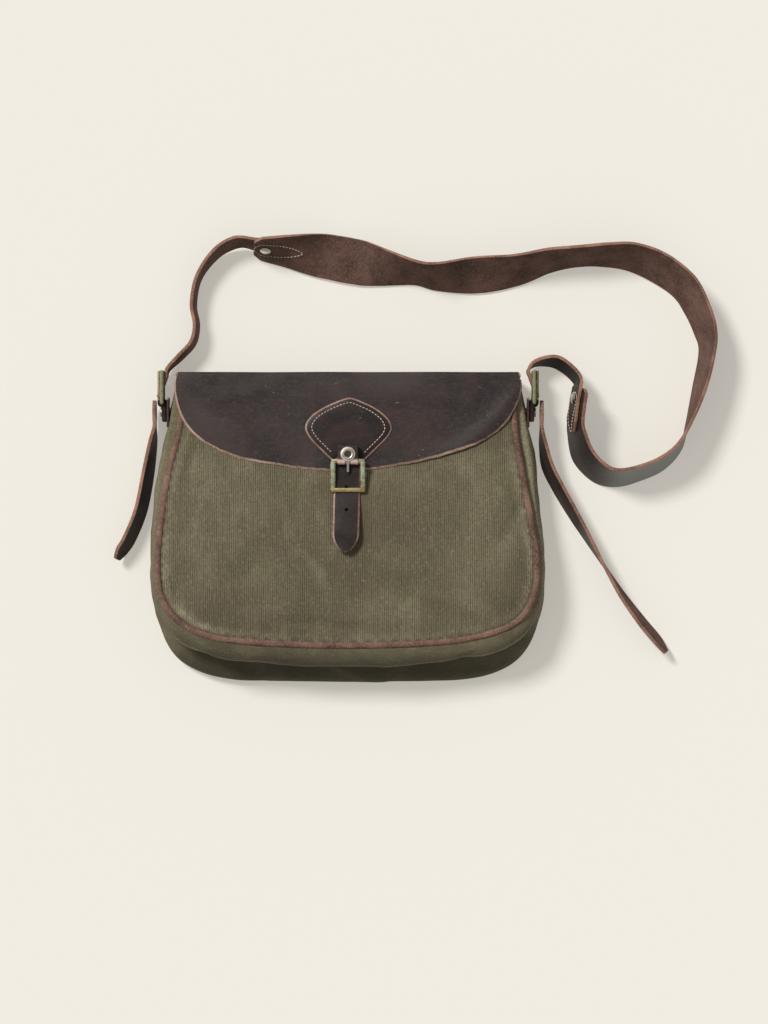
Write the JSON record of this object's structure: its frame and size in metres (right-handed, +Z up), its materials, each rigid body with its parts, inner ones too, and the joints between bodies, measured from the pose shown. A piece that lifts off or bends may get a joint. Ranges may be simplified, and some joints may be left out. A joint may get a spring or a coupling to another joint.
{
  "type": "canvas shoulder bag",
  "caption": "Waxed-canvas shoulder bag lying on its back, with a leather flap closed by a snap and buckle strap, and an adjustable leather shoulder strap with side buckles.",
  "frame": {"origin": "centre of the back panel's outer face, on the ground plane", "axes": "+X across the bag, +Y towards its mouth, +Z up out of its front"},
  "size_m": [0.5093, 0.3771, 0.0503],
  "materials": {
    "canvas": "waxed ribbed canvas",
    "flap_leather": "oiled, scuffed",
    "piping": "worn leather welt",
    "strap_leather": "oiled, raw edges",
    "buckle_brass": "worn, with verdigris",
    "nickel": "tarnished nickel"
  },
  "bodies": {
    "bag": {"back_panel": "canvas", "front_panel": "canvas", "gusset": "canvas", "back_piping": "piping", "front_piping": "piping", "flap_anchor": "flap_leather", "snap_stud": "nickel", "side_tab_left": "strap_leather", "side_tab_right": "strap_leather", "side_rivet_left": "nickel", "side_rivet_right": "nickel", "side_chape_right": "strap_leather", "side_buckle_frame_right": "buckle_brass", "side_buckle_tongue_right": "buckle_brass", "narrow_strap_right": "strap_leather", "shoulder_strap_lobe": "strap_leather", "strap_rivet_right": "nickel"},
    "flap_back": {"flap_spine": "flap_leather"},
    "flap_front": {"flap": "flap_leather", "closure_patch": "flap_leather", "buckle_chape": "flap_leather", "snap_cap": "nickel", "snap_socket": "nickel", "closure_strap": "flap_leather"},
    "closure_buckle": {"closure_buckle_frame": "buckle_brass"},
    "closure_tongue": {"closure_buckle_tongue": "buckle_brass"},
    "strap": {"side_chape_left": "strap_leather", "side_buckle_frame_left": "buckle_brass", "side_buckle_tongue_left": "buckle_brass", "narrow_strap_left": "strap_leather", "shoulder_strap": "strap_leather", "strap_rivet_left": "nickel"},
    "tail_left": {"strap_tail_left": "strap_leather"},
    "tail_right": {"strap_tail_right": "strap_leather"}
  },
  "joints": [
    {"name": "flap_fold", "type": "hinge", "parent": "bag", "child": "flap_back", "pos_m": [0, 0.1292, 0.0033], "axis": [-1, 0, 0], "range_deg": [0, 15]},
    {"name": "flap_open", "type": "hinge", "parent": "flap_back", "child": "flap_front", "pos_m": [0, 0.1292, 0.0298], "axis": [-1, 0, 0], "range_deg": [0, 130]},
    {"name": "buckle_lift", "type": "hinge", "parent": "flap_front", "child": "closure_buckle", "pos_m": [0, 0.05561, 0.04541], "axis": [-1, 0, 0], "range_deg": [0, 80]},
    {"name": "tongue_lift", "type": "hinge", "parent": "flap_front", "child": "closure_tongue", "pos_m": [0, 0.05561, 0.04541], "axis": [-1, 0, 0], "range_deg": [0, 45]},
    {"name": "strap_swing", "type": "hinge", "parent": "bag", "child": "strap", "pos_m": [0, 0.097, 0.0145], "axis": [1, 0, 0], "range_deg": [0, 60]},
    {"name": "tail_lift_left", "type": "hinge", "parent": "bag", "child": "tail_left", "pos_m": [0, 0.097, 0.0145], "axis": [-1, 0, 0], "range_deg": [0, 45]},
    {"name": "tail_lift_right", "type": "hinge", "parent": "bag", "child": "tail_right", "pos_m": [0, 0.097, 0.0145], "axis": [-1, 0, 0], "range_deg": [0, 45]}
  ],
  "couplings": [
    {"joint": "flap_fold", "follows": "flap_open", "ratio": 0.115}
  ]
}
